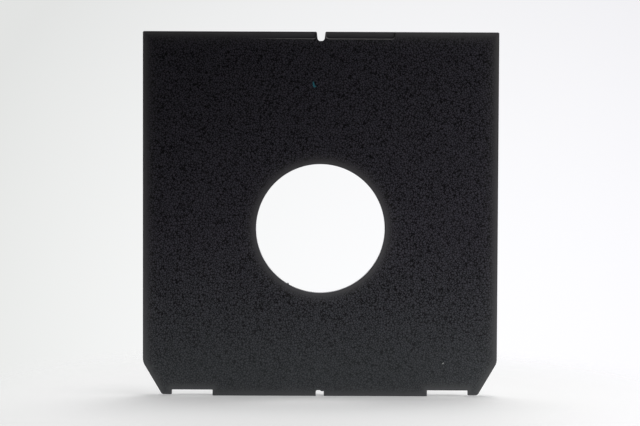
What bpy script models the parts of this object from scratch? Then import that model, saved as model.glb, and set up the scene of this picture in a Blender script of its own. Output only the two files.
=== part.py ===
"""A flat lens board that carries a shutter on a large-format camera or an enlarger.

Metres, +Z up. The board stands on its bottom edge: X runs across it, the front face looks towards -Y and the
light trap stands out of its back towards +Y. The origin is on the bottom edge, in the middle of the whole depth.
"""

import math

import bmesh
import bpy
from mathutils import Matrix, Vector

MM = 0.001

# The plate
BOARD_WIDTH = 96.0 * MM
BOARD_HEIGHT = 98.5 * MM
PLATE_THICKNESS = 2.0 * MM
TOP_CORNER_RADIUS = 0.4 * MM

# The shutter hole, whose axis lies a little below the middle of the board
LENS_HOLE_DIAMETER = 34.8 * MM
LENS_AXIS_DROP = 3.8 * MM

# The sloping bottom corners, and the feet between them and the cut-outs
SLOPE_RUN = 5.2 * MM
SLOPE_RISE = 8.8 * MM
SLOPE_SHOULDER_RADIUS = 3.0 * MM
SLOPE_TOE_RADIUS = 0.8 * MM
FOOT_WIDTH = 2.6 * MM
FOOT_LIFT = 0.3 * MM

# The bottom cut-outs, which drop over two lugs of the camera
CUTOUT_WIDTH = 11.1 * MM
CUTOUT_HEIGHT = 1.6 * MM

# The notches that mark the middle of the bottom and top edges
BOTTOM_NOTCH_WIDTH = 2.15 * MM
BOTTOM_NOTCH_HEIGHT = 1.55 * MM
BOTTOM_NOTCH_RADIUS = 0.4 * MM
TOP_NOTCH_MOUTH = 2.3 * MM
TOP_NOTCH_FLOOR = 1.76 * MM
TOP_NOTCH_DEPTH = 2.47 * MM
TOP_NOTCH_LIP_RADIUS = 0.4 * MM
TOP_NOTCH_FLOOR_RADIUS = 0.8 * MM

# The shallow recesses along the top edge, where the camera's lock bears on the front face
RECESS_RIM = 0.2 * MM
RECESS_LENGTH = 18.5 * MM
RECESS_HEIGHT = 1.8 * MM
RECESS_DEPTH = 0.35 * MM
RECESS_RADIUS = 0.7 * MM

# The light trap: a square frame on the back, sunk a little way into a milled seat
TRAP_SIDE_MARGIN = 7.5 * MM
TRAP_FOOT_MARGIN = 4.95 * MM
TRAP_STANDS_OUT = 2.4 * MM
TRAP_RAIL_WIDTH = 5.0 * MM
TRAP_CORNER_RADIUS = 8.0 * MM
SEAT_DEPTH = 0.5 * MM

# The countersunk slotted screws that hold the frame, M1.6 in blind holes
SCREW_DIAMETER = 1.6 * MM
SCREW_HEAD_DIAMETER = 3.0 * MM
SCREW_HEAD_RIM = 0.2 * MM
SCREW_SINK = 0.1 * MM
SCREW_TIP_CHAMFER = 0.2 * MM
SLOT_WIDTH = 0.45 * MM
SLOT_DEPTH = 0.45 * MM
SKIN_OVER_SCREWS = 0.4 * MM
SLOT_ANGLES = (12, 78, 141, 33, 104, 160, 57, 120)  # degrees: nobody lines the slots up

CLEARANCE = 0.3 * MM  # between pieces that touch
CUT_PAST = 1.0 * MM  # how far a cutter runs past the face it opens
WELD = 0.001 * MM
HOLE_SIDES = 128
SCREW_SIDES = 24
ARC_STEP = math.radians(12)

# Places that follow from the sizes
TOTAL_DEPTH = PLATE_THICKNESS + TRAP_STANDS_OUT
FRONT_Y = -TOTAL_DEPTH / 2
BACK_Y = FRONT_Y + PLATE_THICKNESS
TRAP_REAR_Y = BACK_Y + TRAP_STANDS_OUT
SEAT_FLOOR_Y = BACK_Y - SEAT_DEPTH
AXIS_Z = BOARD_HEIGHT / 2 - LENS_AXIS_DROP
TRAP_WIDTH = BOARD_WIDTH - 2 * TRAP_SIDE_MARGIN
TRAP_HEIGHT = 2 * (AXIS_Z - TRAP_FOOT_MARGIN)

ENAMEL = (0.0109, 0.0104, 0.0122)
MATT_BLACK = (0.0080, 0.0078, 0.0086)
BLACKENED_STEEL = (0.0275, 0.0262, 0.0250)


def rounded_loop(corners):
    """A closed outline from (x, z, radius) corners, each round one an arc that touches both of its sides."""
    loop = []
    for index, (x, z, radius) in enumerate(corners):
        corner = Vector((x, z))
        if radius == 0:
            loop.append(corner)
            continue
        before = (Vector(corners[index - 1][:2]) - corner).normalized()
        after = (Vector(corners[(index + 1) % len(corners)][:2]) - corner).normalized()
        half_angle = before.angle(after) / 2
        reach = radius / math.tan(half_angle)
        centre = corner + (before + after).normalized() * radius / math.sin(half_angle)
        start = corner + before * reach - centre
        end = corner + after * reach - centre
        steps = max(2, math.ceil((math.pi - 2 * half_angle) / ARC_STEP))
        loop += [centre + start.slerp(end, step / steps).normalized() * radius for step in range(steps + 1)]
    return loop


def rounded_rectangle(width, height, radius):
    """A closed outline centred on the lens axis."""
    x, z = width / 2, height / 2
    return rounded_loop([(-x, -z, radius), (x, -z, radius), (x, z, radius), (-x, z, radius)])


def plate_loop():
    """The plate's outline: the right-hand half from the bottom notch up to the top notch, and its mirror image."""
    half = BOARD_WIDTH / 2
    toe = half - SLOPE_RUN
    cutout_outer = toe - FOOT_WIDTH
    cutout_inner = cutout_outer - CUTOUT_WIDTH
    top_floor = BOARD_HEIGHT - TOP_NOTCH_DEPTH
    right = [
        (BOTTOM_NOTCH_WIDTH / 2, BOTTOM_NOTCH_HEIGHT, BOTTOM_NOTCH_RADIUS),
        (BOTTOM_NOTCH_WIDTH / 2, 0, 0),
        (cutout_inner, 0, 0),
        (cutout_inner, CUTOUT_HEIGHT, 0),
        (cutout_outer, CUTOUT_HEIGHT, 0),
        (cutout_outer, FOOT_LIFT, 0),
        (toe, FOOT_LIFT, SLOPE_TOE_RADIUS),
        (half, FOOT_LIFT + SLOPE_RISE, SLOPE_SHOULDER_RADIUS),
        (half, BOARD_HEIGHT, TOP_CORNER_RADIUS),
        (TOP_NOTCH_MOUTH / 2, BOARD_HEIGHT, TOP_NOTCH_LIP_RADIUS),
        (TOP_NOTCH_FLOOR / 2, top_floor, TOP_NOTCH_FLOOR_RADIUS),
    ]
    left = [(-x, z, radius) for x, z, radius in reversed(right)]
    return rounded_loop(right + left)


def recess_loop(side):
    """One top recess, open upwards. side is 1 on the right and -1 on the left."""
    inner = TOP_NOTCH_MOUTH / 2 + RECESS_RIM
    outer = inner + RECESS_LENGTH
    floor = BOARD_HEIGHT - RECESS_HEIGHT
    top = BOARD_HEIGHT + CUT_PAST
    corners = [(inner, floor, RECESS_RADIUS), (outer, floor, RECESS_RADIUS), (outer, top, 0), (inner, top, 0)]
    return rounded_loop([(side * x, z, radius) for x, z, radius in corners])


def screw_places():
    """(name, x, z) of each screw from the lens axis, on the middle line of the frame's rail."""
    x = (TRAP_WIDTH - TRAP_RAIL_WIDTH) / 2
    z = (TRAP_HEIGHT - TRAP_RAIL_WIDTH) / 2
    # the middle line turns a corner on a smaller radius, and the screw sits half-way round it
    corner_in = (TRAP_CORNER_RADIUS - TRAP_RAIL_WIDTH / 2) * (1 - math.sqrt(0.5))
    return [
        ("frame_screw_top_left", corner_in - x, z - corner_in),
        ("frame_screw_top", 0, z),
        ("frame_screw_top_right", x - corner_in, z - corner_in),
        ("frame_screw_right", x, 0),
        ("frame_screw_bottom_right", x - corner_in, corner_in - z),
        ("frame_screw_bottom", 0, -z),
        ("frame_screw_bottom_left", corner_in - x, corner_in - z),
        ("frame_screw_left", -x, 0),
    ]


def clear_scene():
    for obj in list(bpy.data.objects):
        bpy.data.objects.remove(obj, do_unlink=True)


def new_collection(name):
    collection = bpy.data.collections.new(name)
    bpy.context.scene.collection.children.link(collection)
    return collection


def finish_material(name, colour, roughness, metallic):
    material = bpy.data.materials.new(name)
    material.use_nodes = True
    shader = material.node_tree.nodes["Principled BSDF"]
    shader.inputs["Base Color"].default_value = (*colour, 1)
    shader.inputs["Roughness"].default_value = roughness
    shader.inputs["Metallic"].default_value = metallic
    material.diffuse_color = (*colour, 1)
    return material


def slab(name, loops, front_y, back_y, collection):
    """A flat piece between two upright planes, cut to its outlines. A second outline is an opening."""
    curve = bpy.data.curves.new(name, "CURVE")
    curve.dimensions = "2D"
    curve.fill_mode = "BOTH"
    curve.extrude = (back_y - front_y) / 2
    for loop in loops:
        spline = curve.splines.new("POLY")
        spline.points.add(len(loop) - 1)
        spline.use_cyclic_u = True
        for point, place in zip(spline.points, loop):
            point.co = (place.x, place.y, 0, 1)
    drawn = bpy.data.objects.new(name + "_outline", curve)
    collection.objects.link(drawn)
    drawn.rotation_euler.x = math.radians(90)
    drawn.location.y = (front_y + back_y) / 2
    bpy.context.view_layer.update()

    mesh = bpy.data.meshes.new_from_object(drawn.evaluated_get(bpy.context.evaluated_depsgraph_get()))
    shape = bmesh.new()
    shape.from_mesh(mesh)
    bmesh.ops.remove_doubles(shape, verts=shape.verts, dist=WELD)
    bmesh.ops.recalc_face_normals(shape, faces=shape.faces)
    shape.to_mesh(mesh)
    shape.free()
    mesh.name = name
    piece = bpy.data.objects.new(name, mesh)
    piece.matrix_world = drawn.matrix_world.copy()
    collection.objects.link(piece)
    bpy.data.objects.remove(drawn, do_unlink=True)
    return piece


def turned(name, profile, collection):
    """A round piece from a profile of (radius, height) points that runs down its outer side, turned about Z."""
    mesh = bpy.data.meshes.new(name)
    points = [(radius, 0, height) for radius, height in profile]
    edges = [(index, index + 1) for index in range(len(points) - 1)]
    mesh.from_pydata(points, edges, [])
    piece = bpy.data.objects.new(name, mesh)
    collection.objects.link(piece)
    turn = piece.modifiers.new("turn", "SCREW")
    turn.axis = "Z"
    turn.angle = math.radians(360)
    turn.steps = SCREW_SIDES
    turn.render_steps = SCREW_SIDES
    turn.use_merge_vertices = True
    turn.merge_threshold = WELD
    return piece


def as_cutter(cutter):
    cutter.hide_render = True
    cutter.display_type = "WIRE"
    return cutter


def cut(piece, cutter):
    boolean = piece.modifiers.new("cut_" + cutter.name, "BOOLEAN")
    boolean.operation = "DIFFERENCE"
    boolean.solver = "EXACT"
    boolean.object = cutter


def shade(piece):
    """Round sides look round, and edges over 30 degrees stay crisp."""
    piece.data.shade_smooth()
    piece.data.set_sharp_from_angle(angle=math.radians(30))


def lens_axis_empty(collection):
    axis = bpy.data.objects.new("lens_axis", None)
    axis.empty_display_size = 5 * MM
    axis.location.z = AXIS_Z
    collection.objects.link(axis)
    return axis


def make_plate(collection, cutters):
    plate = slab("board_plate", [plate_loop()], FRONT_Y, BACK_Y, collection)
    plate.data.materials.append(finish_material("wrinkle_enamel", ENAMEL, 0.55, 0.0))

    bpy.ops.mesh.primitive_cylinder_add(
        vertices=HOLE_SIDES,
        radius=LENS_HOLE_DIAMETER / 2,
        depth=PLATE_THICKNESS + 2 * CUT_PAST,
        location=(0, (FRONT_Y + BACK_Y) / 2, AXIS_Z),
        rotation=(math.radians(90), 0, 0),
    )
    lens_hole = bpy.context.object
    lens_hole.name = "lens_hole_cutter"
    for holder in list(lens_hole.users_collection):
        holder.objects.unlink(lens_hole)
    cutters.objects.link(lens_hole)
    cut(plate, as_cutter(lens_hole))

    for side, place in ((-1, "left"), (1, "right")):
        name = f"recess_cutter_{place}"
        recess = slab(name, [recess_loop(side)], FRONT_Y - CUT_PAST, FRONT_Y + RECESS_DEPTH, cutters)
        cut(plate, as_cutter(recess))
    return plate


def make_trap(axis, plate, collection, cutters):
    """The frame, and the seat milled for it in the plate's back with a clearance all round."""
    opening_width = TRAP_WIDTH - 2 * TRAP_RAIL_WIDTH
    opening_height = TRAP_HEIGHT - 2 * TRAP_RAIL_WIDTH
    opening_radius = TRAP_CORNER_RADIUS - TRAP_RAIL_WIDTH
    frame_loops = [
        rounded_rectangle(TRAP_WIDTH, TRAP_HEIGHT, TRAP_CORNER_RADIUS),
        rounded_rectangle(opening_width, opening_height, opening_radius),
    ]
    frame = slab("light_trap_frame", frame_loops, SEAT_FLOOR_Y + CLEARANCE, TRAP_REAR_Y, collection)
    frame.parent = axis
    frame.data.materials.append(finish_material("matt_black_enamel", MATT_BLACK, 0.6, 0.0))

    both = 2 * CLEARANCE
    seat_loops = [
        rounded_rectangle(TRAP_WIDTH + both, TRAP_HEIGHT + both, TRAP_CORNER_RADIUS + CLEARANCE),
        rounded_rectangle(opening_width - both, opening_height - both, opening_radius - CLEARANCE),
    ]
    seat = slab("seat_cutter", seat_loops, SEAT_FLOOR_Y, BACK_Y + CUT_PAST, cutters)
    seat.parent = axis
    cut(plate, as_cutter(seat))
    return frame


def screw_profile(grow, top, tip):
    """The half-section of a countersunk screw, grown all round by grow, from top down to tip."""
    head = SCREW_HEAD_DIAMETER / 2 + grow
    shank = SCREW_DIAMETER / 2 + grow
    cone_top = -SCREW_HEAD_RIM
    cone_foot = cone_top - (head - shank)  # the head's sides slope at 45 degrees
    chamfer = SCREW_TIP_CHAMFER
    return [
        (0, top),
        (head, top),
        (head, cone_top),
        (shank, cone_foot),
        (shank, tip + chamfer),
        (shank - chamfer, tip),
        (0, tip),
    ]


def slotted_screw_mesh(length):
    """One screw about Z with the top of its head at zero, its slot along X."""
    bench = new_collection("screw_bench")
    screw = turned("slotted_screw", screw_profile(0, 0, -length), bench)
    slot = bpy.data.objects.new("slot_cutter", bpy.data.meshes.new("slot_cutter"))
    bench.objects.link(slot)
    size = Matrix.Diagonal((SCREW_HEAD_DIAMETER + 2 * CUT_PAST, SLOT_WIDTH, 2 * SLOT_DEPTH, 1))
    shape = bmesh.new()
    bmesh.ops.create_cube(shape, size=1, matrix=size)
    shape.to_mesh(slot.data)
    shape.free()
    cut(screw, slot)
    bpy.context.view_layer.update()
    mesh = bpy.data.meshes.new_from_object(screw.evaluated_get(bpy.context.evaluated_depsgraph_get()))
    mesh.name = "slotted_screw"
    bpy.data.objects.remove(screw, do_unlink=True)
    bpy.data.objects.remove(slot, do_unlink=True)
    bpy.data.collections.remove(bench)
    mesh.materials.append(finish_material("blackened_steel", BLACKENED_STEEL, 0.42, 1.0))
    return mesh


def make_screws(axis, plate, frame, collection, cutters):
    """Each screw passes through the frame into a blind hole that leaves a skin under the plate's front."""
    head_y = TRAP_REAR_Y - SCREW_SINK
    hole_end_y = FRONT_Y + SKIN_OVER_SCREWS
    length = head_y - hole_end_y - CLEARANCE
    mesh = slotted_screw_mesh(length)
    screws = []
    for (name, x, z), slot_angle in zip(screw_places(), SLOT_ANGLES):
        screw = bpy.data.objects.new(name, mesh)
        collection.objects.link(screw)
        screw.parent = axis
        screw.location = (x, head_y, z)
        screw.rotation_euler = (math.radians(-90), math.radians(slot_angle), 0)
        screws.append(screw)

        profile = screw_profile(CLEARANCE, SCREW_SINK + CUT_PAST, hole_end_y - head_y)
        hole = turned(name + "_cutter", profile, cutters)
        hole.parent = axis
        hole.location = (x, head_y, z)
        hole.rotation_euler.x = math.radians(-90)
        as_cutter(hole)
        cut(frame, hole)
        cut(plate, hole)
    return screws


def main():
    clear_scene()
    board = new_collection("lens_board")
    cutters = new_collection("cutters")
    axis = lens_axis_empty(board)
    plate = make_plate(board, cutters)
    frame = make_trap(axis, plate, board, cutters)
    screws = make_screws(axis, plate, frame, board, cutters)
    for piece in (plate, frame, screws[0]):
        shade(piece)
    bpy.context.view_layer.update()


main()
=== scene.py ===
# %% [markdown]
# # A lens board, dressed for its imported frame
#
# A lens board is the flat plate that carries a lens and its shutter on a large-format camera or an
# enlarger. It is a sheet of metal with one round hole, a low frame on its back that keeps stray light out,
# and black wrinkled paint. Nothing on it moves, so this lesson is about clean edges, honest thickness and
# good paint.
#
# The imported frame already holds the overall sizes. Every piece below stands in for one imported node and
# takes its place from that node's box.

# %% Load the frame
import math

import bmesh
import bpy
from mathutils import Matrix, Quaternion, Vector


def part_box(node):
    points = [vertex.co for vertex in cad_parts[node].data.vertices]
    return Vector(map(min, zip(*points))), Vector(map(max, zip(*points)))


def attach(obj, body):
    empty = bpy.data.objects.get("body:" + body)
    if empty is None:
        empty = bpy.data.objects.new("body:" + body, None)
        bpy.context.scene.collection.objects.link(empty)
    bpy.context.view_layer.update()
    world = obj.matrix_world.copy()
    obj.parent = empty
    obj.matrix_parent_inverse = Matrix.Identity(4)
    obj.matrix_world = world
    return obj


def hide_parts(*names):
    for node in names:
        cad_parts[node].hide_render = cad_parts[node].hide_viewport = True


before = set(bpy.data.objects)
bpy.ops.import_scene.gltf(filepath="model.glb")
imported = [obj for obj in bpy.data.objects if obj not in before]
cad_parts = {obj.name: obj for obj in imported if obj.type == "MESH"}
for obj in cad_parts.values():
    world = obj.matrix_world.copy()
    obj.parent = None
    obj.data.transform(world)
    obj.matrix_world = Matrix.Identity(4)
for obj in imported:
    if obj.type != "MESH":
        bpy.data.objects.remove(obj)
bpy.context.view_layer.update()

print("packed nodes:", sorted(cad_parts))

# %% Sizes that come from the frame
MM = 0.001
BODY = "root"

plate_low, plate_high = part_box("board_plate")
trap_low, trap_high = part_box("light_trap_frame")
FRONT_Y, BACK_Y = plate_low.y, plate_high.y
HALF_WIDTH, TOP_Z = plate_high.x, plate_high.z
AXIS_Z = (trap_low.z + trap_high.z) / 2  # the light trap is centred on the lens
LENS_AXIS = Vector((0, 0, AXIS_Z))
print(f"plate {2 * HALF_WIDTH / MM:.1f} x {TOP_Z / MM:.1f} x {(BACK_Y - FRONT_Y) / MM:.1f} mm")
print(f"lens axis {AXIS_Z / MM:.2f} mm above the bottom edge")

# %% [markdown]
# ## The camera
#
# Product pictures of flat things are taken with a long lens from a little way off, so that the sides stay
# parallel. Here the camera looks straight at the board from 2 degrees above, and it is tipped a fifth of a
# degree on its own axis, as a camera on a real tripod always is. It could be aimed with a Track To
# constraint, but a quaternion worked out once leaves nothing live in the scene.

# %% Camera
VIEW_AZIMUTH = math.radians(0.098)
VIEW_ELEVATION = math.radians(2.0)
VIEW_ROLL = math.radians(0.228)
VIEW_DISTANCE = 418.8 * MM
AIM = Vector((-0.12 * MM, FRONT_Y, 49.67 * MM))
FOCAL_LENGTH, SENSOR_WIDTH = 87.2, 36.0  # mm

forward = Vector((
    math.sin(VIEW_AZIMUTH) * math.cos(VIEW_ELEVATION),
    math.cos(VIEW_AZIMUTH) * math.cos(VIEW_ELEVATION),
    -math.sin(VIEW_ELEVATION),
))
lens = bpy.data.cameras.new("studio_camera")
lens.lens = FOCAL_LENGTH
lens.sensor_width = SENSOR_WIDTH
lens.clip_start = 10 * MM
camera = bpy.data.objects.new("studio_camera", lens)
bpy.context.scene.collection.objects.link(camera)
camera.location = AIM - forward * VIEW_DISTANCE
camera.rotation_mode = "QUATERNION"
camera.rotation_quaternion = forward.to_track_quat("-Z", "Y") @ Quaternion((0, 0, 1), VIEW_ROLL)
bpy.context.scene.camera = camera
print("camera at", [round(value / MM, 1) for value in camera.location], "mm")

# %% [markdown]
# ## A small bench of helpers
#
# A few jobs come back for most pieces: rounding a corner of a flat outline, giving a flat face its
# thickness, rolling over its rim, turning a bmesh into an object, and cutting one solid with another or
# joining it on. Corners are rounded with a vertex bevel on the flat face, because that is how a fitter does
# it: mark the square corner first, then file the radius.

# %% Helpers for flat faces
ARC_STEP = math.radians(9)


def round_corner(bm, place, radius):
    """Rounds the corner of a flat face that stands at this place."""
    corner = min(bm.verts, key=lambda vert: (vert.co - place).length_squared)
    first, second = (edge.other_vert(corner).co - corner.co for edge in corner.link_edges)
    half_angle = first.angle(second) / 2
    bmesh.ops.bevel(
        bm, geom=[corner], offset=radius / math.tan(half_angle), offset_type="OFFSET", affect="VERTICES",
        segments=max(3, math.ceil((math.pi - 2 * half_angle) / ARC_STEP)), profile=0.5, material=-1,
    )


def thicken(bm, thickness):
    """Turns a flat sheet into a closed slab that reaches back from it along +Y."""
    copied = bmesh.ops.extrude_face_region(bm, geom=bm.faces[:], use_keep_orig=True)["geom"]
    verts = [item for item in copied if isinstance(item, bmesh.types.BMVert)]
    bmesh.ops.translate(bm, verts=verts, vec=(0, thickness, 0))
    bmesh.ops.recalc_face_normals(bm, faces=bm.faces[:])


def rim_edges(bm, y):
    """The edges where the flat face at this depth turns into the side walls."""
    at_depth = [edge for edge in bm.edges if all(abs(vert.co.y - y) < 1e-7 for vert in edge.verts)]
    return [edge for edge in at_depth if any(abs(face.normal.y) < 0.5 for face in edge.link_faces)]


def roll_edge(bm, y, radius, segments):
    """Rounds over the rim of the flat face at this depth."""
    bmesh.ops.bevel(
        bm, geom=rim_edges(bm, y), offset=radius, offset_type="OFFSET", affect="EDGES", segments=segments,
        profile=0.5, clamp_overlap=False, material=-1,
    )


# %% Helpers for objects
WELD = 0.0005 * MM
CRUMB = 0.002 * MM  # a Boolean can leave edges shorter than this where two rims nearly meet


def to_object(bm, name):
    """Welds and orients the mesh, and hangs it in the scene with its place in its vertices."""
    bmesh.ops.remove_doubles(bm, verts=bm.verts[:], dist=WELD)
    bmesh.ops.recalc_face_normals(bm, faces=bm.faces[:])
    mesh = bpy.data.meshes.new(name)
    bm.to_mesh(mesh)
    bm.free()
    piece = bpy.data.objects.new(name, mesh)
    bpy.context.scene.collection.objects.link(piece)
    return piece


def combine(piece, tool, operation="DIFFERENCE"):
    """Cuts a closed solid out of a piece, or joins it on, and leaves plain mesh and no tool."""
    join = piece.modifiers.new("join", "BOOLEAN")
    join.operation, join.solver, join.object = operation, "EXACT", tool
    bpy.context.view_layer.update()
    result = bpy.data.meshes.new_from_object(piece.evaluated_get(bpy.context.evaluated_depsgraph_get()))
    piece.modifiers.clear()
    bm = bmesh.new()
    bm.from_mesh(result)
    bmesh.ops.remove_doubles(bm, verts=bm.verts[:], dist=CRUMB)
    bmesh.ops.dissolve_degenerate(bm, edges=bm.edges[:], dist=CRUMB)
    bm.to_mesh(result)
    bm.free()
    piece.data = result
    result.name = piece.name
    bpy.data.objects.remove(tool, do_unlink=True)


def report(piece):
    bm = bmesh.new()
    bm.from_mesh(piece.data)
    open_edges = sum(1 for edge in bm.edges if not edge.is_manifold)
    volume = bm.calc_volume(signed=True) / MM**3
    bm.free()
    print(f"{piece.name}: {len(piece.data.polygons)} faces, {volume:.1f} mm3, {open_edges} open edges")


# %% [markdown]
# ## The plate
#
# The real plate is stamped or milled from 2 mm sheet. Its outline is symmetrical, so only the right half is
# drawn, from the little notch in the bottom edge round to the notch in the top edge, and the shutter hole
# closes it as a half circle. Mirroring that face gives the whole plate with two faces and no triangles. It
# could be a curve object with an extrude, but a bmesh keeps every later step in one place.

# %% Outline of the right half
SHUTTER_HOLE = 34.8 * MM
HOLE_STEPS = 72

SLOPE_RUN, FOOT_WIDTH, CUTOUT_WIDTH = 5.2 * MM, 2.6 * MM, 11.1 * MM
TOE_X = HALF_WIDTH - SLOPE_RUN
CUTOUT_OUTER = TOE_X - FOOT_WIDTH
CUTOUT_INNER = CUTOUT_OUTER - CUTOUT_WIDTH
FOOT_Z, SLOPE_TOP_Z, CUTOUT_Z = 0.3 * MM, 9.1 * MM, 1.6 * MM
NOTCH_X, NOTCH_Z = 1.075 * MM, 1.55 * MM
TOP_NOTCH_LIP, TOP_NOTCH_FLOOR, TOP_NOTCH_DEPTH = 1.15 * MM, 0.88 * MM, 2.47 * MM

HALF_OUTLINE = [  # (x, z, radius) upwards from the middle of the bottom edge
    (0, NOTCH_Z, 0),
    (NOTCH_X, NOTCH_Z, 0.4 * MM),
    (NOTCH_X, 0, 0),
    (CUTOUT_INNER, 0, 0),
    (CUTOUT_INNER, CUTOUT_Z, 0),
    (CUTOUT_OUTER, CUTOUT_Z, 0),
    (CUTOUT_OUTER, FOOT_Z, 0),
    (TOE_X, FOOT_Z, 0.8 * MM),
    (HALF_WIDTH, SLOPE_TOP_Z, 3.0 * MM),
    (HALF_WIDTH, TOP_Z, 0.4 * MM),
    (TOP_NOTCH_LIP, TOP_Z, 0.4 * MM),
    (TOP_NOTCH_FLOOR, TOP_Z - TOP_NOTCH_DEPTH, 0.8 * MM),
    (0, TOP_Z - TOP_NOTCH_DEPTH, 0),
]

sheet = bmesh.new()
outline = [sheet.verts.new((x, FRONT_Y, z)) for x, z, _ in HALF_OUTLINE]
hole_top = sheet.verts.new((0, FRONT_Y, AXIS_Z + SHUTTER_HOLE / 2))
for start, end in zip(outline, outline[1:] + [hole_top]):
    sheet.edges.new((start, end))
bmesh.ops.spin(
    sheet, geom=[hole_top], cent=LENS_AXIS, axis=(0, 1, 0), angle=math.pi, steps=HOLE_STEPS,
    use_duplicate=False,
)
hole_foot = Vector((0, FRONT_Y, AXIS_Z - SHUTTER_HOLE / 2))
hole_bottom = min(sheet.verts, key=lambda vert: (vert.co - hole_foot).length)
sheet.edges.new((hole_bottom, outline[0]))
bmesh.ops.contextual_create(sheet, geom=sheet.edges[:])
for x, z, radius in HALF_OUTLINE:
    if radius:
        round_corner(sheet, Vector((x, FRONT_Y, z)), radius)
print(f"half outline: {len(sheet.verts)} points, {len(sheet.faces)} face")

# %% [markdown]
# ### Thickness and soft edges
#
# Paint never stands on a sharp edge: surface tension pulls it back, and baking rounds it off. So the front
# rim is rolled over by about a quarter of a millimetre, and the back rim by less. That narrow round is what
# catches the light and draws the outline of a black plate. A Bevel modifier could do it, but it would also
# round the recesses and screw holes that come later, so the two rims are bevelled by hand.

# %% Mirror, thicken and roll
FRONT_ROLL, BACK_ROLL = 0.22 * MM, 0.15 * MM

bmesh.ops.mirror(sheet, geom=sheet.verts[:] + sheet.edges[:] + sheet.faces[:], axis="X", merge_dist=WELD)
thicken(sheet, BACK_Y - FRONT_Y)
roll_edge(sheet, FRONT_Y, FRONT_ROLL, 6)
roll_edge(sheet, BACK_Y, BACK_ROLL, 3)
plate = to_object(sheet, "painted_plate")
report(plate)

# %% [markdown]
# ### Recesses under the camera's lock
#
# Two long, very shallow recesses run along the top edge, one on each side of the notch. The camera's
# sliding lock bears in them. They are milled 0.35 mm deep with a cutter that has a round nose, so their
# walls slope. That sloping lower wall shows as a fine bright line. The left one gets shallower towards its
# outer end, almost to nothing.

# %% Cut the recesses
RECESS_INNER, RECESS_LENGTH = 1.35 * MM, 18.5 * MM
RECESS_HEIGHT, RECESS_DEPTH, RECESS_CORNER = 1.8 * MM, 0.35 * MM, 0.95 * MM
RECESS_FLARE = 0.2 * MM
LEFT_FADE = 0.3 * MM  # how much shallower the left recess is at its outer end
RECESS_MIDDLE = Vector((RECESS_INNER + RECESS_LENGTH / 2, 0, TOP_Z))
RECESS_CORE = Vector((RECESS_LENGTH / 2 - RECESS_CORNER, 0, RECESS_HEIGHT - RECESS_CORNER))
CUT_PAST = 1.0 * MM


def recess_cutter(side, fade):
    """The milled pocket on one side of the notch. Its floor rises by fade at the outer end."""
    inner, outer = side * RECESS_INNER, side * (RECESS_INNER + RECESS_LENGTH)
    floor_z, above_z, floor_y = TOP_Z - RECESS_HEIGHT, TOP_Z + CUT_PAST, FRONT_Y + RECESS_DEPTH
    bm = bmesh.new()
    corners = [(inner, floor_z), (outer, floor_z), (outer, above_z), (inner, above_z)]
    bm.faces.new([bm.verts.new((x, floor_y, z)) for x, z in corners])
    for x in (inner, outer):
        round_corner(bm, Vector((x, floor_y, floor_z)), RECESS_CORNER)
    thicken(bm, -CUT_PAST)
    # the face that now lies in front of the plate is grown, so that the walls flare
    front = [vert for vert in bm.verts if vert.co.y < floor_y - CUT_PAST / 2]
    flare = RECESS_FLARE * CUT_PAST / RECESS_DEPTH
    grow = ((RECESS_LENGTH + 2 * flare) / RECESS_LENGTH, 1, (above_z - floor_z + flare) / (above_z - floor_z))
    bmesh.ops.translate(bm, verts=front, vec=(-(inner + outer) / 2, 0, -above_z))
    bmesh.ops.scale(bm, verts=front, vec=grow)
    bmesh.ops.translate(bm, verts=front, vec=((inner + outer) / 2, 0, above_z))
    for vert in bm.verts:
        along = (vert.co.x - inner) / (outer - inner)
        vert.co.y -= fade * max(0.0, along)
    return to_object(bm, "recess_cutter")


combine(plate, recess_cutter(1, 0.0))
combine(plate, recess_cutter(-1, LEFT_FADE))
report(plate)

# %% [markdown]
# ### Beads of paint
#
# Enamel gathers in inside corners. One bead hangs in the right half of the bottom notch, and one small burr
# stands on the rim of the shutter hole. Each is a squashed sphere joined on to the plate.

# %% Join the beads
BEADS = [  # (x, z) of the middle, half width, half height
    (0.62 * MM, NOTCH_Z + 0.02 * MM, 0.5 * MM, 0.35 * MM),
    (-8.72 * MM, 30.37 * MM, 0.24 * MM, 0.4 * MM),
]
BEAD_HALF_DEPTH, BEAD_SINK = 0.4 * MM, 0.2 * MM  # the middle of a bead lies this far behind the rolled rim

for x, z, half_width, half_height in BEADS:
    bead = bmesh.new()
    bmesh.ops.create_uvsphere(bead, u_segments=24, v_segments=12, radius=1)
    squash = Matrix.Diagonal((half_width, BEAD_HALF_DEPTH, half_height, 1))
    move = Matrix.Translation((x, FRONT_Y + FRONT_ROLL + BEAD_SINK, z))
    bmesh.ops.transform(bead, matrix=move @ squash, verts=bead.verts[:])
    combine(plate, to_object(bead, "paint_bead"), "UNION")
report(plate)

# %% [markdown]
# ## The light trap
#
# Behind the plate stands a square frame that enters the camera's front standard. Light that creeps in round
# the edge of the board would have to turn two corners to get past it. It is a 5 mm rail with round corners,
# let a little way into a milled seat. One function makes the square ring, once as the frame itself and
# once, a hair larger, as the cutter for its seat.

# %% The square ring
RAIL, TRAP_CORNER = 5.0 * MM, 8.0 * MM
REAR_ROLL, SEAT_ROLL = 0.3 * MM, 0.1 * MM
SEAT_GAP = 0.08 * MM
SEAT_FLOOR_Y = trap_low.y - SEAT_GAP


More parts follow.
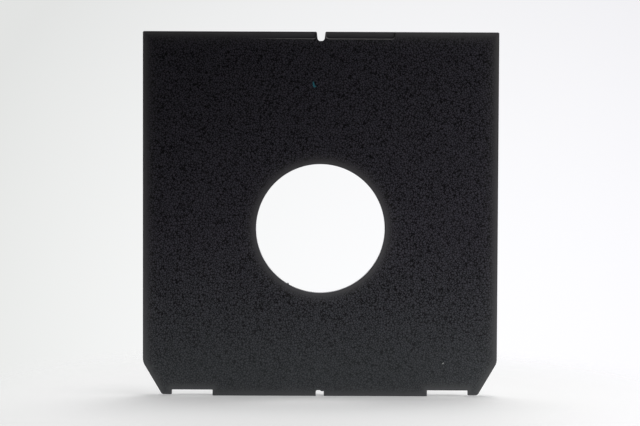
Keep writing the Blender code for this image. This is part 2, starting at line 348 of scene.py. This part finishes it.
def square_ring(grow, front_y, back_y):
    """The trap's outline between two depths, grown all round by grow."""
    bm = bmesh.new()
    half_x, half_z = trap_high.x + grow, (trap_high.z - trap_low.z) / 2 + grow
    standing = Matrix.Translation((0, front_y, AXIS_Z)) @ Matrix.Rotation(math.radians(90), 4, "X")
    bmesh.ops.create_grid(bm, x_segments=1, y_segments=1, size=1, matrix=Matrix.Identity(4))
    bmesh.ops.scale(bm, verts=bm.verts[:], vec=(half_x, half_z, 1))
    bmesh.ops.transform(bm, matrix=standing, verts=bm.verts[:])
    for x in (-half_x, half_x):
        for z in (-half_z, half_z):
            round_corner(bm, Vector((x, front_y, AXIS_Z + z)), TRAP_CORNER + grow)
    middle = bm.faces[:]
    bmesh.ops.inset_region(
        bm, faces=middle, thickness=RAIL + 2 * grow, use_even_offset=True, use_boundary=True,
    )
    bmesh.ops.delete(bm, geom=middle, context="FACES")
    thicken(bm, back_y - front_y)
    return bm


ring = square_ring(0, trap_low.y, trap_high.y)
roll_edge(ring, trap_high.y, REAR_ROLL, 4)
roll_edge(ring, trap_low.y, SEAT_ROLL, 2)
trap = to_object(ring, "light_trap_rails")
combine(plate, to_object(square_ring(SEAT_GAP, SEAT_FLOOR_Y, BACK_Y + CUT_PAST), "seat_cutter"))
report(trap)
report(plate)

# %% [markdown]
# ## Eight countersunk screws
#
# The frame is held from behind by eight small slotted screws, which end in blind holes so that the front
# stays unbroken. A turned part is best made by spinning half of its section about its axis. The same
# section, grown a little, makes the cutter for its hole.

# %% Screw section
HEAD_RADIUS, SHANK_RADIUS = 1.5 * MM, 0.8 * MM
HEAD_RIM, HEAD_SINK, TIP_CHAMFER = 0.2 * MM, 0.1 * MM, 0.2 * MM
HEAD_CHAMFER = 0.06 * MM
SLOT_WIDTH, SLOT_DEPTH = 0.45 * MM, 0.45 * MM
HOLE_GAP = 0.06 * MM
SKIN = 0.45 * MM  # metal left between a blind hole and the front
SCREW_STEPS = 48

HEAD_Y = trap_high.y - HEAD_SINK
SCREW_LENGTH = HEAD_Y - FRONT_Y - SKIN


def turned(section):
    """A closed solid from a section of (radius, height) points, spun about the Z axis."""
    bm = bmesh.new()
    points = [bm.verts.new((radius, 0, height)) for radius, height in section]
    edges = [bm.edges.new(pair) for pair in zip(points, points[1:])]
    bmesh.ops.spin(
        bm, geom=points + edges, cent=(0, 0, 0), axis=(0, 0, 1), angle=2 * math.pi, steps=SCREW_STEPS,
        use_merge=True, use_duplicate=False,
    )
    bmesh.ops.remove_doubles(bm, verts=bm.verts[:], dist=WELD)
    bmesh.ops.recalc_face_normals(bm, faces=bm.faces[:])
    return bm


def screw_section(grow, top, tip):
    """From the middle of the head's top down to the middle of the tip."""
    head, shank = HEAD_RADIUS + grow, SHANK_RADIUS + grow
    chamfer = 0 if grow else HEAD_CHAMFER  # the hole's cutter keeps a sharp rim
    return [
        (0, top),
        (head - chamfer, top),
        (head, top - chamfer),
        (head, -HEAD_RIM),
        (shank, -HEAD_RIM - (head - shank)),
        (shank, tip + TIP_CHAMFER),
        (shank - TIP_CHAMFER, tip),
        (0, tip),
    ]


def standing_at(x, z, slot_angle):
    """The transform that points a screw's head backwards and moves it to its place on the frame."""
    turn = Matrix.Rotation(math.radians(-90), 4, "X") @ Matrix.Rotation(math.radians(slot_angle), 4, "Z")
    return Matrix.Translation((x, HEAD_Y, z)) @ turn


# %% Make the screws and their holes
SLOT_ANGLES = {  # nobody lines the slots up
    "frame_screw_top_left": -12, "frame_screw_top": -78, "frame_screw_top_right": -141,
    "frame_screw_right": -33, "frame_screw_bottom_right": -104, "frame_screw_bottom": -160,
    "frame_screw_bottom_left": -57, "frame_screw_left": -120,
}

screws = {}
for node, slot_angle in SLOT_ANGLES.items():
    low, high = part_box(node)
    x, z = (low.x + high.x) / 2, (low.z + high.z) / 2
    name = node.replace("frame_screw", "slotted_screw")
    screw = to_object(turned(screw_section(0, 0, -SCREW_LENGTH)), name)
    slot = bmesh.new()
    bmesh.ops.create_cube(slot, size=1)
    bmesh.ops.scale(slot, verts=slot.verts[:], vec=(2.5 * HEAD_RADIUS, SLOT_WIDTH, 2 * SLOT_DEPTH))
    combine(screw, to_object(slot, "slot_cutter"))
    screw.matrix_world = standing_at(x, z, slot_angle)
    screws[node] = screw
    for piece in (trap, plate):
        hole = turned(screw_section(HOLE_GAP, HEAD_SINK + CUT_PAST, -SCREW_LENGTH - HOLE_GAP))
        bmesh.ops.transform(hole, matrix=standing_at(x, z, 0), verts=hole.verts[:])
        combine(piece, to_object(hole, "screw_hole_cutter"))
report(screws["frame_screw_top"])
report(trap)
report(plate)

# %% [markdown]
# ## Smooth shading that keeps flat faces flat
#
# Shading is smoothed across the rolled edges, but a large flat face next to a small round would then look
# swollen. Two things stop that: edges sharper than 35 degrees stay sharp, and the Weighted Normal modifier
# lets the large faces win wherever a flat meets a round.

# %% Shade every piece
SHARP_ANGLE = math.radians(35)

for piece in (plate, trap, *screws.values()):
    piece.data.shade_smooth()
    piece.data.set_sharp_from_angle(angle=SHARP_ANGLE)
    weighted = piece.modifiers.new("keep_flats_flat", "WEIGHTED_NORMAL")
    weighted.weight = 100
    weighted.keep_sharp = True

# %% [markdown]
# ## Materials
#
# Two helpers serve every material: one turns an sRGB hex colour into the linear numbers that shaders work
# in, and one adds a node with its settings and its links.

# %% Helpers for materials
def linear(hex_colour):
    """An sRGB colour such as #1d1c20 as linear RGBA."""
    channels = [int(hex_colour[start:start + 2], 16) / 255 for start in (1, 3, 5)]
    curve = [value / 12.92 if value <= 0.04045 else ((value + 0.055) / 1.055) ** 2.4 for value in channels]
    return (*curve, 1.0)


def add_node(tree, kind, inputs=(), **settings):
    """Adds a node. inputs are values or output sockets, in order or by name; settings are its properties."""
    node = tree.nodes.new(kind)
    for name, value in settings.items():
        setattr(node, name, value)
    for key, value in inputs.items() if isinstance(inputs, dict) else enumerate(inputs):
        if isinstance(value, bpy.types.NodeSocket):
            tree.links.new(value, node.inputs[key])
        else:
            node.inputs[key].default_value = value
    return node


def new_material(name):
    """A node material with a bare Principled shader. Returns the material, its tree and the shader."""
    material = bpy.data.materials.new(name)
    material.use_nodes = True
    tree = material.node_tree
    tree.nodes.clear()
    shader = tree.nodes.new("ShaderNodeBsdfPrincipled")
    output = tree.nodes.new("ShaderNodeOutputMaterial")
    tree.links.new(shader.outputs["BSDF"], output.inputs["Surface"])
    return material, tree, shader


def place_in_mm(tree):
    """The Object coordinates in mm, so that each pattern is set by its real size."""
    place = add_node(tree, "ShaderNodeTexCoord").outputs["Object"]
    return add_node(
        tree, "ShaderNodeVectorMath", {"Vector": place, "Scale": 1 / MM}, operation="SCALE",
    ).outputs["Vector"]


def cover(piece, material):
    """Gives a piece this material and no other."""
    piece.data.materials.clear()
    piece.data.materials.append(material)


# %% [markdown]
# ### Black wrinkle enamel
#
# Wrinkle enamel is a stoving paint whose skin dries before its body does, so it shrinks into a fine leather
# of lumps about 0.6 mm apart with dark creases between them. Voronoi cells whose borders are bent by a
# noise give just that: the distance to the border is a lump, and zero is a crease. Near an edge, paint runs
# thin and smooth, so the lumps must fade there. The material therefore works out how far each point is from
# the nearest edge, by folding the plate on its middle line and measuring to a few straight lines, the
# cut-out and the hole. The two small notches are left out, because the lumps run right up to them.

# %% Distance to the nearest edge
FACE_LINES = [  # a point on each straight side of the folded plate, and the direction into the metal
    (Vector((HALF_WIDTH, 0, 0)), Vector((-1, 0, 0))),
    (Vector((0, 0, TOP_Z)), Vector((0, 0, -1))),
    (Vector((0, 0, 0)), Vector((0, 0, 1))),
    (Vector((TOE_X, 0, FOOT_Z)), Vector((FOOT_Z - SLOPE_TOP_Z, 0, HALF_WIDTH - TOE_X)).normalized()),
]
CUTOUT_MIDDLE = Vector(((CUTOUT_INNER + CUTOUT_OUTER) / 2, 0, 0))
CUTOUT_REACH = Vector(((CUTOUT_OUTER - CUTOUT_INNER) / 2, 0, CUTOUT_Z))


def add_box_distance(tree, place, middle, reach):
    """Nodes for the distance in mm from a point to a box, given by its middle and its half sizes."""
    steps = [("SUBTRACT", middle / MM), ("ABSOLUTE",), ("SUBTRACT", reach / MM), ("MAXIMUM", (0, 0, 0))]
    for operation, *other in steps:
        place = add_node(tree, "ShaderNodeVectorMath", [place, *other], operation=operation).outputs["Vector"]
    return add_node(tree, "ShaderNodeVectorMath", [place], operation="LENGTH").outputs["Value"]


def add_edge_distance(tree, folded):
    """Nodes for the distance in mm from a point on the folded plate to the nearest edge."""
    from_axis = add_node(
        tree, "ShaderNodeVectorMath", [folded, LENS_AXIS / MM], operation="DISTANCE",
    ).outputs["Value"]
    nearest = add_node(
        tree, "ShaderNodeMath", [from_axis, SHUTTER_HOLE / 2 / MM], operation="SUBTRACT",
    ).outputs["Value"]
    gaps = []
    for point, inwards in FACE_LINES:
        offset = add_node(
            tree, "ShaderNodeVectorMath", [folded, point / MM], operation="SUBTRACT",
        ).outputs["Vector"]
        gap = add_node(tree, "ShaderNodeVectorMath", [offset, inwards], operation="DOT_PRODUCT")
        gaps.append(gap.outputs["Value"])
    gaps.append(add_box_distance(tree, folded, CUTOUT_MIDDLE, CUTOUT_REACH))
    for gap in gaps:
        nearest = add_node(tree, "ShaderNodeMath", [nearest, gap], operation="MINIMUM").outputs["Value"]
    return nearest


# %% [markdown]
# The tops of the lumps are a dark grey and the creases are painted nearly black, as painted shade in the
# hollows, which is what makes the grain. Along its edges the front is painted a little greyer, a painted
# glare that grows from the foot towards the top. Towards the foot, on which the board is stood down, it is
# smoother and has lost its faint violet. Years of use have also left a fleck of blue paint and one white
# speck on it.

# %% Black wrinkle enamel
LUMP_SPACING = 0.6  # mm
WRINKLE_DEPTH = 0.045 * MM
MEAN_TONE = 0.85  # how light smooth paint is, from creases at 0 to the tops of lumps at 1
BEND_SCALE, BEND_REACH = 1.6, 0.6  # per mm, mm
SKIN_SCALE, SKIN_SHARE = 3.2, 0.8  # per mm, share of the height
SMOOTH_EDGE = (0.1, 2.4)  # mm from an edge, over which the lumps set in
FOOT_REACH, FOOT_SHARE = 26.0, 0.5  # mm up from the foot, and how wrinkled it is there
TINT_HEIGHTS = (8.0, 45.0)  # mm up, over which the faint violet sets in
# the grey of the painted glare along the edges and of the painted highlight on the recess lips
HIGHLIGHT_GREY = linear("#9a9996")
GLARE_FADE = 0.38  # how much of the painted glare is left after each mm away from an edge
RIM_WIDTH = 0.45  # mm
FOOT_GLARE = 0.36  # share of the painted glare at the foot
LIP_BAND, LIP_HIGHLIGHT = (0.22, 0.06), 0.55  # mm from the lip, share
LIP_ENDS = (-19.0, -12.0)  # mm across, over which the left lip sets in
BLEMISHES = [  # (x, z) in mm, lean in degrees, half width and half height in mm, colour
    ((-1.95, 84.3), -9, (0.24, 0.9), "#4fb4c8"),
    ((-1.65, 83.8), 0, (0.42, 0.2), "#4fb4c8"),
    ((33.4, 9.0), 50, (0.13, 0.29), "#f4f4f0"),
]

enamel, tree, shader = new_material("black_wrinkle_enamel")
place = place_in_mm(tree)
upright = add_node(tree, "ShaderNodeVectorMath", [place, (1, 0, 1)], operation="MULTIPLY").outputs["Vector"]
folded = add_node(tree, "ShaderNodeVectorMath", [upright], operation="ABSOLUTE").outputs["Vector"]
edge = add_edge_distance(tree, folded)

bend = add_node(
    tree, "ShaderNodeTexNoise", {"Vector": place, "Scale": BEND_SCALE, "Detail": 1.0},
).outputs["Color"]
bent = add_node(
    tree, "ShaderNodeVectorMath", [bend, (BEND_REACH,) * 3, place], operation="MULTIPLY_ADD",
).outputs["Vector"]
cells = add_node(
    tree, "ShaderNodeTexVoronoi", {"Vector": bent, "Scale": 1 / LUMP_SPACING, "Randomness": 1.0},
    feature="DISTANCE_TO_EDGE",
).outputs["Distance"]
lump = add_node(
    tree, "ShaderNodeMapRange", [cells, 0.0, 0.3], interpolation_type="SMOOTHSTEP",
).outputs["Result"]
skin = add_node(
    tree, "ShaderNodeTexNoise", {"Vector": place, "Scale": SKIN_SCALE, "Detail": 2.0, "Roughness": 0.6},
).outputs["Fac"]
height = add_node(tree, "ShaderNodeMath", [skin, SKIN_SHARE, lump], operation="MULTIPLY_ADD").outputs["Value"]

middle_y = (FRONT_Y + BACK_Y) / 2 / MM
axes = add_node(tree, "ShaderNodeSeparateXYZ", [place])
depth, up = axes.outputs["Y"], axes.outputs["Z"]
from_middle = add_node(tree, "ShaderNodeMath", [depth, middle_y], operation="SUBTRACT").outputs["Value"]
to_face = add_node(tree, "ShaderNodeMath", [from_middle], operation="ABSOLUTE").outputs["Value"]
on_face = add_node(tree, "ShaderNodeMapRange", [to_face, 0.8, 0.97]).outputs["Result"]
off_edge = add_node(
    tree, "ShaderNodeMapRange", [edge, *SMOOTH_EDGE], interpolation_type="SMOOTHSTEP",
).outputs["Result"]
off_foot = add_node(tree, "ShaderNodeMapRange", [up, 0.0, FOOT_REACH, FOOT_SHARE, 1.0]).outputs["Result"]
inside = add_node(tree, "ShaderNodeMath", [off_edge, off_foot], operation="MULTIPLY").outputs["Value"]
wrinkled = add_node(tree, "ShaderNodeMath", [on_face, inside], operation="MULTIPLY").outputs["Value"]

# creases are painted darker than lumps, as painted shade in the hollows; near an edge the paint is smoother,
# and a painted glare makes it greyer
crease_shade = add_node(
    tree, "ShaderNodeMapRange", [height, 0.4, 0.95], interpolation_type="SMOOTHSTEP",
).outputs["Result"]
tone = add_node(
    tree, "ShaderNodeMix", {"Factor": wrinkled, "A": MEAN_TONE, "B": crease_shade}, data_type="FLOAT",
).outputs["Result"]
upper = add_node(tree, "ShaderNodeMapRange", [up, *TINT_HEIGHTS]).outputs["Result"]
lump_colour = add_node(
    tree, "ShaderNodeMix", {"Factor": upper, 6: linear("#5e6165"), 7: linear("#625f6a")}, data_type="RGBA",
).outputs[2]
# the near-black colour is painted shade in the creases, and the grey is the tops of the lumps
paint = add_node(
    tree, "ShaderNodeMix", {"Factor": tone, 6: linear("#0d0d10"), 7: lump_colour}, data_type="RGBA",
).outputs[2]
# painted glare: a lighter grey near every edge of the front, fading inwards past a narrow rim and growing
# from the foot towards the top
glare_falloff = add_node(tree, "ShaderNodeMath", [GLARE_FADE, edge], operation="POWER").outputs["Value"]
off_rim = add_node(tree, "ShaderNodeMapRange", [edge, 0.0, RIM_WIDTH]).outputs["Result"]
edge_glare = add_node(tree, "ShaderNodeMath", [glare_falloff, off_rim], operation="MULTIPLY").outputs["Value"]
glare_by_height = add_node(tree, "ShaderNodeMapRange", [up, 0.0, TOP_Z / MM, FOOT_GLARE, 1.0]).outputs["Result"]
in_front = add_node(tree, "ShaderNodeMath", [depth, middle_y], operation="LESS_THAN").outputs["Value"]
rub_and_glare = add_node(tree, "ShaderNodeMath", [edge_glare, glare_by_height], operation="MULTIPLY").outputs["Value"]
wear_and_glare = add_node(tree, "ShaderNodeMath", [rub_and_glare, in_front], operation="MULTIPLY").outputs["Value"]
colour = add_node(
    tree, "ShaderNodeMix", {"Factor": wear_and_glare, 6: paint, 7: HIGHLIGHT_GREY}, data_type="RGBA",
).outputs[2]

# a painted highlight runs along the lip of each recess, except where the left one gets shallow
radial = add_box_distance(tree, folded, RECESS_MIDDLE, RECESS_CORE)
from_lip = add_node(
    tree, "ShaderNodeMath", [radial, (RECESS_CORNER + RECESS_FLARE / 2) / MM], operation="SUBTRACT",
).outputs["Value"]
lip_gap = add_node(tree, "ShaderNodeMath", [from_lip], operation="ABSOLUTE").outputs["Value"]
lip_highlight = add_node(
    tree, "ShaderNodeMapRange", [lip_gap, *LIP_BAND, 0.0, LIP_HIGHLIGHT], interpolation_type="SMOOTHSTEP",
).outputs["Result"]
kept = add_node(tree, "ShaderNodeMapRange", [axes.outputs["X"], *LIP_ENDS]).outputs["Result"]
lip_highlight_kept = add_node(tree, "ShaderNodeMath", [lip_highlight, kept], operation="MULTIPLY").outputs["Value"]
lip = add_node(tree, "ShaderNodeMath", [lip_highlight_kept, in_front], operation="MULTIPLY").outputs["Value"]
colour = add_node(
    tree, "ShaderNodeMix", {"Factor": lip, 6: colour, 7: HIGHLIGHT_GREY}, data_type="RGBA",
).outputs[2]

# the blemishes are small stretched spots on the front face
for spot, lean, reach, spot_colour in BLEMISHES:
    around = add_node(tree, "ShaderNodeMapping", {
        "Vector": upright, "Location": (spot[0], 0, spot[1]), "Rotation": (0, math.radians(lean), 0),
        "Scale": (reach[0], 1, reach[1]),
    }, vector_type="TEXTURE").outputs["Vector"]
    away = add_node(tree, "ShaderNodeVectorMath", [around], operation="LENGTH").outputs["Value"]
    inside = add_node(
        tree, "ShaderNodeMapRange", [away, 1.2, 0.6], interpolation_type="SMOOTHSTEP",
    ).outputs["Result"]
    share = add_node(tree, "ShaderNodeMath", [inside, in_front], operation="MULTIPLY").outputs["Value"]
    colour = add_node(
        tree, "ShaderNodeMix", {"Factor": share, 6: colour, 7: linear(spot_colour)}, data_type="RGBA",
    ).outputs[2]
tree.links.new(colour, shader.inputs["Base Color"])
shader.inputs["Specular IOR Level"].default_value = 0.2
gloss = add_node(tree, "ShaderNodeMapRange", [tone, 0.0, 1.0, 0.6, 0.38]).outputs["Result"]
tree.links.new(gloss, shader.inputs["Roughness"])
bump = add_node(
    tree, "ShaderNodeBump", {"Strength": wrinkled, "Distance": WRINKLE_DEPTH, "Height": height},
).outputs["Normal"]
tree.links.new(bump, shader.inputs["Normal"])
cover(plate, enamel)

# %% [markdown]
# ### Matt black enamel
#
# The light trap is sprayed thin and matt, because it must swallow light. What tells it apart from plastic
# is a fine orange peel, a faint cloudiness and the rear rim, which slides in and out of the camera and is
# rubbed to a greyer, smoother black in patches.

# %% Matt black enamel for the light trap
PEEL_SPACING, PEEL_DEPTH = 0.35, 0.012 * MM
RUB_REACH = 0.5  # mm from the outer rim

matt, tree, shader = new_material("matt_black_enamel")
place = place_in_mm(tree)
peel = add_node(
    tree, "ShaderNodeTexNoise", {"Vector": place, "Scale": 1 / PEEL_SPACING, "Detail": 2.0},
).outputs["Fac"]
cloud = add_node(
    tree, "ShaderNodeTexNoise", {"Vector": place, "Scale": 0.12, "Detail": 3.0, "Roughness": 0.6},
).outputs["Fac"]
clouded = add_node(tree, "ShaderNodeMapRange", [cloud, 0.3, 0.7]).outputs["Result"]
coat = add_node(
    tree, "ShaderNodeMix", {"Factor": clouded, 6: linear("#121214"), 7: linear("#1f1f20")}, data_type="RGBA",
).outputs[2]

from_middle = add_node(
    tree, "ShaderNodeVectorMath", [place, LENS_AXIS / MM], operation="SUBTRACT",
).outputs["Vector"]
aside = add_node(tree, "ShaderNodeVectorMath", [from_middle], operation="ABSOLUTE").outputs["Vector"]
axes = add_node(tree, "ShaderNodeSeparateXYZ", [aside])
outermost = add_node(
    tree, "ShaderNodeMath", [axes.outputs["X"], axes.outputs["Z"]], operation="MAXIMUM",
).outputs["Value"]
half_trap = trap_high.x / MM
at_rim = add_node(
    tree, "ShaderNodeMapRange", [outermost, half_trap - RUB_REACH, half_trap],
).outputs["Result"]
at_rear = add_node(
    tree, "ShaderNodeMapRange", [axes.outputs["Y"], trap_high.y / MM - RUB_REACH, trap_high.y / MM],
).outputs["Result"]
patches = add_node(
    tree, "ShaderNodeTexNoise", {"Vector": place, "Scale": 0.3, "Detail": 5.0, "Roughness": 0.7},
).outputs["Fac"]
patchy = add_node(tree, "ShaderNodeMapRange", [patches, 0.42, 0.62]).outputs["Result"]
rim = add_node(tree, "ShaderNodeMath", [at_rim, at_rear], operation="MULTIPLY").outputs["Value"]
rub_and_glare = add_node(tree, "ShaderNodeMath", [rim, patchy], operation="MULTIPLY").outputs["Value"]
colour = add_node(
    tree, "ShaderNodeMix", {"Factor": rub_and_glare, 6: coat, 7: linear("#55534f")}, data_type="RGBA",
).outputs[2]
tree.links.new(colour, shader.inputs["Base Color"])
gloss = add_node(tree, "ShaderNodeMapRange", [rub_and_glare, 0.0, 1.0, 0.62, 0.36]).outputs["Result"]
tree.links.new(gloss, shader.inputs["Roughness"])
bump = add_node(
    tree, "ShaderNodeBump", {"Strength": 1.0, "Distance": PEEL_DEPTH, "Height": peel},
).outputs["Normal"]
tree.links.new(bump, shader.inputs["Normal"])
cover(trap, matt)

# %% [markdown]
# ### Black oxide on turned steel
#
# A blackened screw is still metal. The oxide is a thin blue-black skin with brown clouds, the lathe's rings
# show through it on the head, and a screwdriver has worn it off along the edges of the slot. Each screw
# keeps its own place and turn as an object, so its Object coordinates are centred on its own axis with the
# slot along X.

# %% Black oxide steel for the screws
RING_SPACING, RING_DEPTH = 0.09, 0.003 * MM
WAVE_SCALE = 0.314  # a wave texture of this scale has rings 1 unit apart

steel, tree, shader = new_material("black_oxide_steel")
place = place_in_mm(tree)
rings = add_node(
    tree, "ShaderNodeTexWave",
    {"Vector": place, "Scale": WAVE_SCALE / RING_SPACING, "Distortion": 0.6, "Detail": 1.0},
    wave_type="RINGS", rings_direction="Z",
).outputs["Fac"]
cloud = add_node(
    tree, "ShaderNodeTexNoise", {"Vector": place, "Scale": 0.9, "Detail": 4.0, "Roughness": 0.6},
).outputs["Fac"]
clouded = add_node(tree, "ShaderNodeMapRange", [cloud, 0.35, 0.68]).outputs["Result"]
oxide = add_node(
    tree, "ShaderNodeMix", {"Factor": clouded, 6: linear("#33343a"), 7: linear("#4a4038")}, data_type="RGBA",
).outputs[2]
axes = add_node(tree, "ShaderNodeSeparateXYZ", [place])
across = add_node(tree, "ShaderNodeMath", [axes.outputs["Y"]], operation="ABSOLUTE").outputs["Value"]
slot_side = SLOT_WIDTH / 2 / MM
near_slot = add_node(
    tree, "ShaderNodeMapRange", [across, slot_side + 0.16, slot_side], interpolation_type="SMOOTHSTEP",
).outputs["Result"]
near_top = add_node(tree, "ShaderNodeMapRange", [axes.outputs["Z"], -0.12, -0.02]).outputs["Result"]
chatter = add_node(
    tree, "ShaderNodeTexNoise", {"Vector": place, "Scale": 1.7, "Detail": 2.0, "Roughness": 0.6},
).outputs["Fac"]
patchy = add_node(tree, "ShaderNodeMapRange", [chatter, 0.34, 0.58]).outputs["Result"]
lip = add_node(tree, "ShaderNodeMath", [near_slot, near_top], operation="MULTIPLY").outputs["Value"]
wear_and_glare = add_node(tree, "ShaderNodeMath", [lip, patchy], operation="MULTIPLY").outputs["Value"]
colour = add_node(
    tree, "ShaderNodeMix", {"Factor": wear_and_glare, 6: oxide, 7: linear("#b9b6b0")}, data_type="RGBA",
).outputs[2]
tree.links.new(colour, shader.inputs["Base Color"])
shader.inputs["Metallic"].default_value = 1.0
gloss = add_node(tree, "ShaderNodeMapRange", [clouded, 0.0, 1.0, 0.34, 0.5]).outputs["Result"]
tree.links.new(gloss, shader.inputs["Roughness"])
bump = add_node(
    tree, "ShaderNodeBump", {"Strength": 1.0, "Distance": RING_DEPTH, "Height": rings},
).outputs["Normal"]
tree.links.new(bump, shader.inputs["Normal"])
for screw in screws.values():
    cover(screw, steel)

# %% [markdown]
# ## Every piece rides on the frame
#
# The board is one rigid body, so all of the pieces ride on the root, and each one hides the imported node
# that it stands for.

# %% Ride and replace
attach(plate, BODY)
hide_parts("board_plate")
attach(trap, BODY)
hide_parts("light_trap_frame")
for node, screw in screws.items():
    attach(screw, BODY)
    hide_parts(node)

# %% [markdown]
# ## The studio
#
# A black plate shows best against white. The table is a lit white sheet, whose glow fills the gap under the
# plate, and light from the table also lifts the lower part of the dark face. The table has to end close by,
# or the face would be lit just as much at the top, so it fades out into the sweep.

# %% Floor
FLOOR_RADIUS = 400 * MM
FADE_START, FADE_END = 0.055, 0.12  # m from the middle of the board
TABLE_GLOW = 0.24

floor_mesh = bmesh.new()
bmesh.ops.create_circle(floor_mesh, cap_ends=True, segments=96, radius=FLOOR_RADIUS)
floor = to_object(floor_mesh, "paper_floor")

paper, tree, shader = new_material("white_seamless_paper")
shader.inputs["Emission Color"].default_value = (1, 1, 1, 1)
shader.inputs["Emission Strength"].default_value = TABLE_GLOW
shader.inputs["Base Color"].default_value = (0.85, 0.85, 0.85, 1)
shader.inputs["Roughness"].default_value = 0.9
shader.inputs["Specular IOR Level"].default_value = 0.1
floor.data.materials.append(paper)
place = add_node(tree, "ShaderNodeTexCoord").outputs["Object"]
distance = add_node(tree, "ShaderNodeVectorMath", [place], operation="LENGTH").outputs["Value"]
fade = add_node(
    tree, "ShaderNodeMapRange", [distance, FADE_START, FADE_END], interpolation_type="SMOOTHSTEP",
).outputs["Result"]
clear = add_node(tree, "ShaderNodeBsdfTransparent").outputs["BSDF"]
blend = add_node(tree, "ShaderNodeMixShader", [fade, shader.outputs["BSDF"], clear]).outputs["Shader"]
tree.links.new(blend, tree.nodes["Material Output"].inputs["Surface"])

# %% [markdown]
# The sweep behind the board has two jobs. What the lens sees is a soft white glow, brightest low on the
# right. What lights the board is a band of much stronger light near the horizon, all of it from behind, and
# a little weaker on the left. A Light Path node keeps the two apart. The room in front is black.

# %% World
SWEEP_BEHIND = 2.6
GLOW_AT = Vector((0.114, 1.0, -0.155)).normalized()
LEFT_TINT, RIGHT_TINT = (0.988, 1, 0.988, 1), (1, 0.996, 1.026, 1)

world = bpy.data.worlds.new("white_sweep")
bpy.context.scene.world = world
world.use_nodes = True
sky = world.node_tree
sky.nodes.clear()
direction = add_node(sky, "ShaderNodeTexCoord").outputs["Generated"]
away = add_node(sky, "ShaderNodeVectorMath", [direction, GLOW_AT], operation="DISTANCE").outputs["Value"]
squared = add_node(sky, "ShaderNodeMath", [away, away], operation="MULTIPLY").outputs["Value"]
seen_level = add_node(sky, "ShaderNodeMapRange", [squared, 0.0, 0.14, 1.0, 0.773]).outputs["Result"]
axes = add_node(sky, "ShaderNodeSeparateXYZ", [direction])
rightwards = add_node(sky, "ShaderNodeMapRange", [axes.outputs["X"], -0.2, 0.2]).outputs["Result"]
tint = add_node(
    sky, "ShaderNodeMix", {"Factor": rightwards, 6: LEFT_TINT, 7: RIGHT_TINT}, data_type="RGBA",
).outputs[2]
seen = add_node(sky, "ShaderNodeBackground", {"Color": tint, "Strength": seen_level}).outputs["Background"]

behind = add_node(
    sky, "ShaderNodeMapRange", [axes.outputs["Y"], -0.05, 0.4, 0.0, SWEEP_BEHIND],
    interpolation_type="SMOOTHSTEP",
).outputs["Result"]
low = add_node(
    sky, "ShaderNodeMapRange", [axes.outputs["Z"], 0.6, 0.3], interpolation_type="SMOOTHSTEP",
).outputs["Result"]
above = add_node(
    sky, "ShaderNodeMapRange", [axes.outputs["Z"], -0.2, 0.0], interpolation_type="SMOOTHSTEP",
).outputs["Result"]
band = add_node(sky, "ShaderNodeMath", [low, above], operation="MULTIPLY").outputs["Value"]
one_sided = add_node(sky, "ShaderNodeMapRange", [axes.outputs["X"], -0.7, 0.7, 0.7, 1.05]).outputs["Result"]
sided = add_node(sky, "ShaderNodeMath", [behind, one_sided], operation="MULTIPLY").outputs["Value"]
light_level = add_node(sky, "ShaderNodeMath", [sided, band], operation="MULTIPLY").outputs["Value"]
lighting = add_node(sky, "ShaderNodeBackground", {"Strength": light_level}).outputs["Background"]
lighting.node.inputs["Color"].default_value = (1, 1, 1, 1)
is_seen = add_node(sky, "ShaderNodeLightPath").outputs["Is Camera Ray"]
both = add_node(sky, "ShaderNodeMixShader", [is_seen, lighting, seen]).outputs["Shader"]
add_node(sky, "ShaderNodeOutputWorld", [both])

# %% [markdown]
# One soft box hangs above and a little behind the board, so it skims the face and throws the short shadow
# in front. A small one stands close by on the right, low down, and gives the face its soft fall-off to the
# left.

# %% Soft boxes
LIGHTS = {  # name: (place in m, width, height, watts), each turned to face the middle of the board
    "overhead_soft_box": ((0.12, 0.08, 1.0), 0.55, 0.4, 5.7),
    "side_soft_box": ((0.15, -0.07, 0.07), 0.06, 0.15, 0.04),
}

board_middle = Vector((0, 0, TOP_Z / 2))
for name, (spot, width, height, watts) in LIGHTS.items():
    light = bpy.data.lights.new(name, "AREA")
    light.shape = "RECTANGLE"
    light.size, light.size_y, light.energy = width, height, watts
    soft_box = bpy.data.objects.new(name, light)
    bpy.context.scene.collection.objects.link(soft_box)
    soft_box.location = spot
    soft_box.rotation_mode = "QUATERNION"
    soft_box.rotation_quaternion = (board_middle - soft_box.location).to_track_quat("-Z", "Y")
    soft_box.visible_camera = False

bpy.context.scene.view_settings.view_transform = "Standard"
